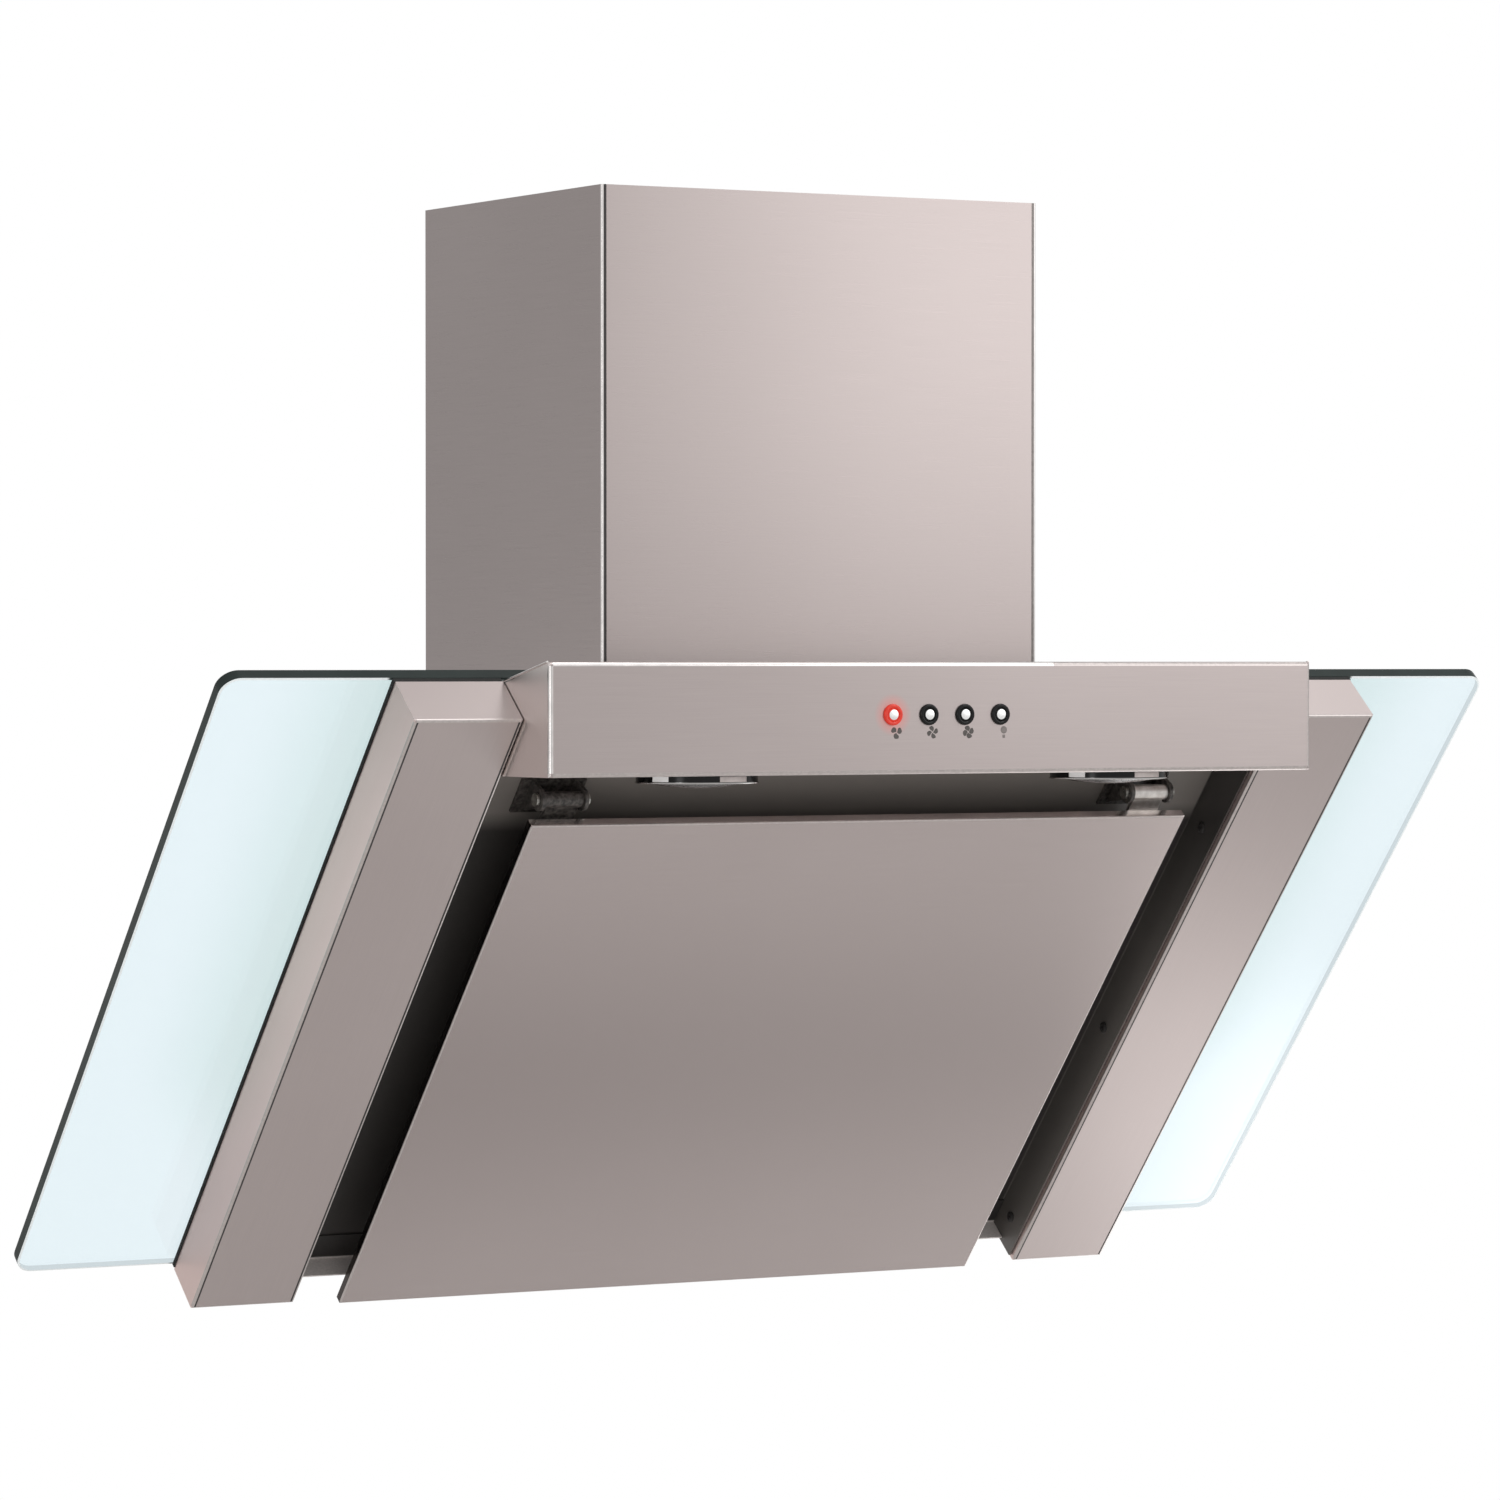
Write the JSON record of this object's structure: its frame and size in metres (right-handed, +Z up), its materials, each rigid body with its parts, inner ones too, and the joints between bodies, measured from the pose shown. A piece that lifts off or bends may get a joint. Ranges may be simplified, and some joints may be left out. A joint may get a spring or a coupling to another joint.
{
  "type": "range hood",
  "caption": "Wall-mounted inclined range hood: slanted glass canopy, steel pillars, hinged suction panel, fascia with push buttons and lamps, telescopic chimney, blower inside.",
  "frame": {"origin": "centre of the wall bracket's bolt holes, on the wall", "axes": "+X to the right as seen from the front, +Y into the wall, +Z up"},
  "size_m": [0.9, 0.3972, 0.7052],
  "materials": {
    "brushed_stainless": "brushed",
    "canopy_glass": "polished",
    "black_enamel": "satin",
    "seal_rubber": "matt",
    "lamp_chrome": "polished",
    "lamp_glass": "frosted",
    "lamp_white": "satin",
    "button_metal": "satin",
    "bezel_plastic": "gloss",
    "indicator_red": "lit",
    "galvanised_steel": "galvanised",
    "filter_aluminium": "anodised",
    "hinge_steel": "phosphated",
    "fastener_steel": "zinc plated",
    "black_plastic": "moulded",
    "circuit_board": "solder mask",
    "motor_metal": "die cast"
  },
  "bodies": {
    "hood": {"left_pillar": "brushed_stainless", "right_pillar": "brushed_stainless", "control_fascia": "brushed_stainless", "tray_sill": "brushed_stainless", "lower_flue_cover": "brushed_stainless", "glass_canopy": "canopy_glass", "base_tray": "black_enamel", "left_pillar_gasket": "seal_rubber", "right_pillar_gasket": "seal_rubber", "tray_gasket": "seal_rubber", "canopy_gasket": "seal_rubber", "cable_grommet": "seal_rubber", "left_lamp_trim": "lamp_chrome", "right_lamp_trim": "lamp_chrome", "left_lamp_lens": "lamp_glass", "right_lamp_lens": "lamp_glass", "left_lamp_emitter": "lamp_white", "right_lamp_emitter": "lamp_white", "left_lamp_cup": "lamp_white", "right_lamp_cup": "lamp_white", "button_bezels": "bezel_plastic", "indicator_ring": "indicator_red", "air_box": "galvanised_steel", "wall_bracket": "galvanised_steel", "outlet_collar": "galvanised_steel", "damper_spindle": "galvanised_steel", "filter_frame": "filter_aluminium", "filter_mesh": "filter_aluminium", "left_hinge_bracket": "hinge_steel", "right_hinge_bracket": "hinge_steel", "hinge_pins": "fastener_steel", "glass_bolts": "fastener_steel", "pillar_screws": "fastener_steel", "flue_screws": "fastener_steel", "switch_housing": "black_plastic", "scroll_casing": "black_plastic", "scroll_cover": "black_plastic", "terminal_box": "black_plastic", "terminal_cover": "black_plastic", "panel_catches": "black_plastic", "capacitor": "black_plastic", "control_board": "circuit_board", "board_components": "circuit_board", "blower_motor": "motor_metal"},
    "panel": {"front_panel": "brushed_stainless", "panel_backing": "brushed_stainless", "left_hinge_leaf": "hinge_steel", "right_hinge_leaf": "hinge_steel", "panel_strikes": "hinge_steel"},
    "upper_flue": {"upper_flue_cover": "brushed_stainless", "flue_bracket": "galvanised_steel"},
    "impeller": {"impeller": "black_plastic", "motor_shaft": "fastener_steel"},
    "front_flap": {"front_damper_flap": "black_plastic"},
    "rear_flap": {"rear_damper_flap": "black_plastic"},
    "latch": {"filter_latch": "black_plastic"},
    "speed_one_cap": {"speed_one_button": "button_metal"},
    "speed_two_cap": {"speed_two_button": "button_metal"},
    "speed_three_cap": {"speed_three_button": "button_metal"},
    "light_cap": {"light_button": "button_metal"}
  },
  "joints": [
    {"name": "panel_hinge", "type": "hinge", "parent": "hood", "child": "panel", "pos_m": [0, -0.29538, -0.09357], "axis": [-1, 0, 0], "range_deg": [0, 80]},
    {"name": "upper_flue_slide", "type": "slide", "parent": "hood", "child": "upper_flue", "axis": [0, 0, 1], "range_m": [0, 0.17]},
    {"name": "impeller_spin", "type": "hinge", "parent": "hood", "child": "impeller", "pos_m": [0, -0.0855, -0.06], "axis": [1, 0, 0], "continuous": true},
    {"name": "front_flap_hinge", "type": "hinge", "parent": "hood", "child": "front_flap", "pos_m": [0, -0.1235, 0.07], "axis": [-1, 0, 0], "range_deg": [0, 75]},
    {"name": "rear_flap_hinge", "type": "hinge", "parent": "hood", "child": "rear_flap", "pos_m": [0, -0.1235, 0.07], "axis": [1, 0, 0], "range_deg": [0, 75]},
    {"name": "filter_latch_slide", "type": "slide", "parent": "hood", "child": "latch", "axis": [0, 0.6528, -0.7576], "range_m": [0, 0.006], "stiffness_N_per_m": 300, "springref_m": -0.003},
    {"name": "speed_one_press", "type": "slide", "parent": "hood", "child": "speed_one_cap", "axis": [0, 1, 0], "range_m": [0, 0.002], "stiffness_N_per_m": 500},
    {"name": "speed_two_press", "type": "slide", "parent": "hood", "child": "speed_two_cap", "axis": [0, 1, 0], "range_m": [0, 0.002], "stiffness_N_per_m": 500},
    {"name": "speed_three_press", "type": "slide", "parent": "hood", "child": "speed_three_cap", "axis": [0, 1, 0], "range_m": [0, 0.002], "stiffness_N_per_m": 500},
    {"name": "light_press", "type": "slide", "parent": "hood", "child": "light_cap", "axis": [0, 1, 0], "range_m": [0, 0.002], "stiffness_N_per_m": 500}
  ]
}
